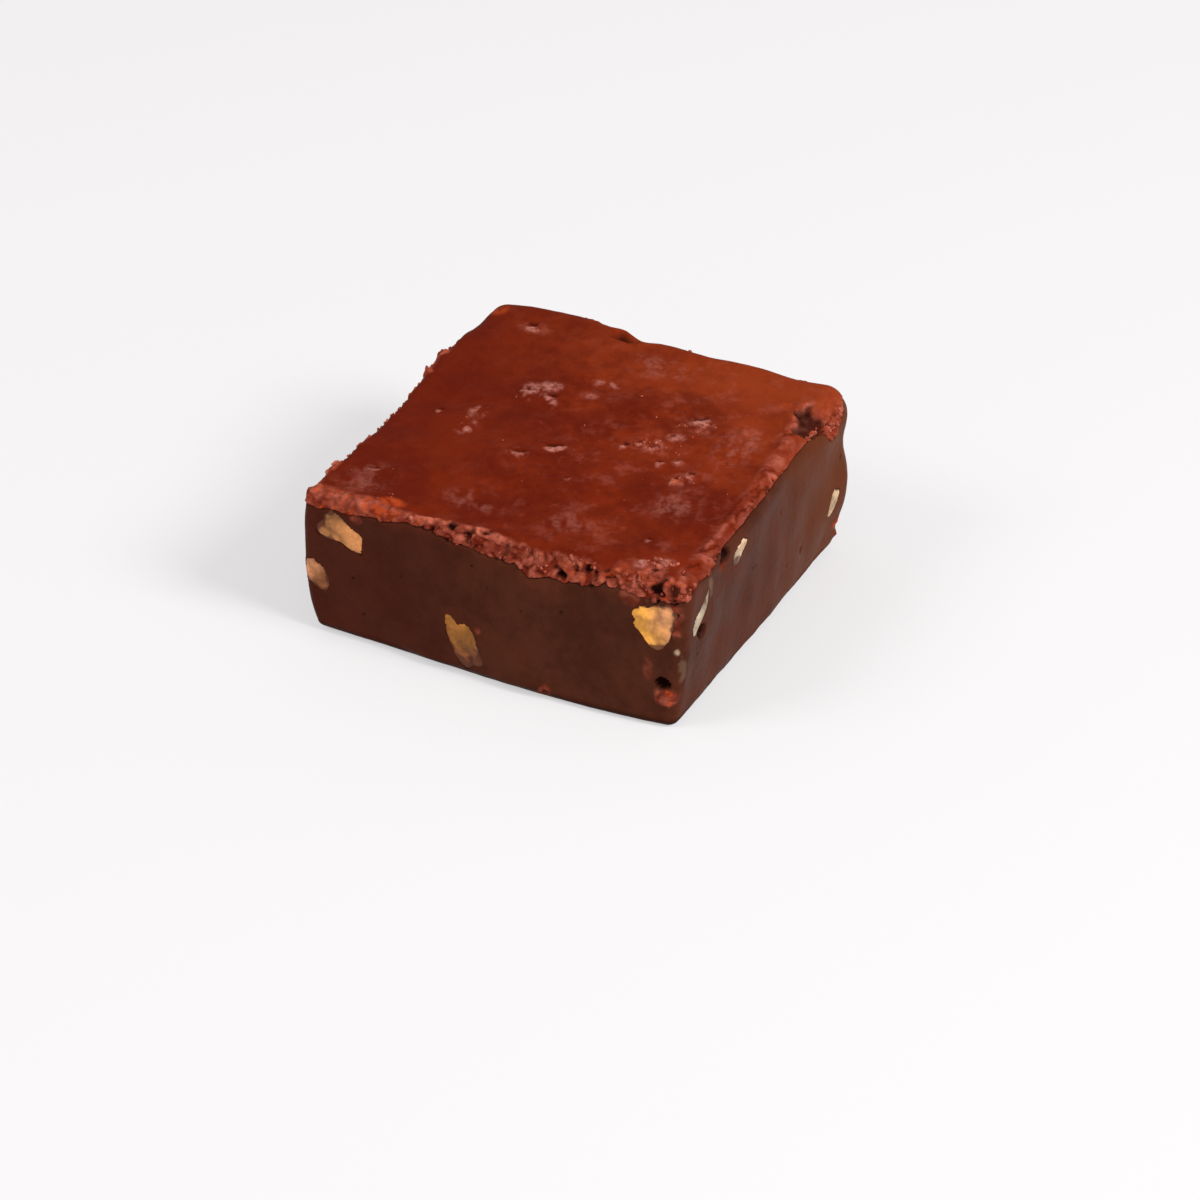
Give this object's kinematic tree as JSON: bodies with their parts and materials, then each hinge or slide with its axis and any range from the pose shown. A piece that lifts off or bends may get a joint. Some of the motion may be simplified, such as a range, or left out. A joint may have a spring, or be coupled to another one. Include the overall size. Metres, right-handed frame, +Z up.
{
  "type": "chocolate brownie",
  "caption": "Square of dense chocolate brownie with a thin baked crust, cut sides that show walnut pieces, and a flat base.",
  "frame": {"origin": "middle of the bounding box's underside, on the surface the brownie stands on", "axes": "+X along the front cut face from left to right, +Y away from the front face, +Z up through the thickness"},
  "size_m": [0.075, 0.074, 0.0325],
  "materials": {
    "fudge": "satin",
    "nutmeat": "satin"
  },
  "bodies": {
    "root": {"brownie_body": "fudge", "walnut_front_upper_left": "nutmeat", "walnut_front_left_edge": "nutmeat", "walnut_front_lower_middle": "nutmeat", "walnut_front_upper_right": "nutmeat", "walnut_right_near": "nutmeat", "walnut_right_upper": "nutmeat", "walnut_right_far": "nutmeat", "walnut_back_right": "nutmeat", "walnut_back_middle": "nutmeat", "walnut_back_left": "nutmeat", "walnut_left_back": "nutmeat", "walnut_left_front": "nutmeat"}
  },
  "joints": []
}
